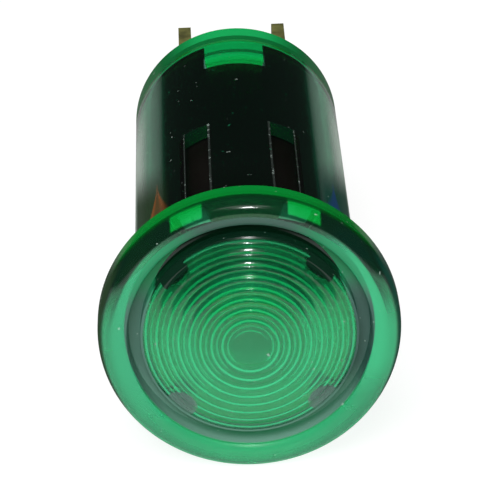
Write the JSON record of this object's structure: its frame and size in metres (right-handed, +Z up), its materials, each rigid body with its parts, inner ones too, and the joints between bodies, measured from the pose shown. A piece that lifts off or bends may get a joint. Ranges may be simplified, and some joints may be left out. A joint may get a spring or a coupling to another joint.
{
  "type": "panel pilot light",
  "caption": "Snap-in panel pilot light: transparent green ringed lens, flange and barrel moulded in one, over a black lamp housing with two flat push-on terminals",
  "frame": {"origin": "centre of the flange's flat seat, where the light's axis meets the face of the panel", "axes": "the lens looks along -Y, the barrel and the terminals run along +Y behind the panel, and +Z is up, with a snap finger at the top and one at the bottom"},
  "size_m": [0.0164, 0.0398, 0.0164],
  "materials": {
    "green_lens": "clear green moulded polycarbonate, polished",
    "reflector_white": "white moulded plastic, satin",
    "housing_black": "black moulded plastic, fine satin",
    "terminal_brass": "stamped brass, dull",
    "collar_plastic": "natural moulded plastic",
    "lamp_glass": "clear lamp glass",
    "electrode_metal": "coated nickel rod",
    "lead_wire": "copper-clad lead wire",
    "sleeve_light": "light insulating sleeve",
    "sleeve_dark": "dark insulating sleeve",
    "tinned_metal": "tinned metal, dull",
    "resistor_coat": "tan resistor coating"
  },
  "bodies": {
    "root": {"lens_body": "green_lens", "reflector": "reflector_white", "lamp_housing": "housing_black", "terminal_base": "housing_black", "terminal_left": "terminal_brass", "terminal_right": "terminal_brass", "lamp_collar": "collar_plastic", "lamp_envelope": "lamp_glass", "electrode_left": "electrode_metal", "electrode_right": "electrode_metal", "lamp_lead_left": "lead_wire", "lamp_lead_right": "lead_wire", "lead_sleeve": "sleeve_light", "splice_ferrule": "tinned_metal", "resistor_body": "resistor_coat", "resistor_lead_front": "tinned_metal", "resistor_lead_rear": "tinned_metal", "resistor_sleeve": "sleeve_dark", "solder_left": "tinned_metal", "solder_right": "tinned_metal"}
  },
  "joints": []
}
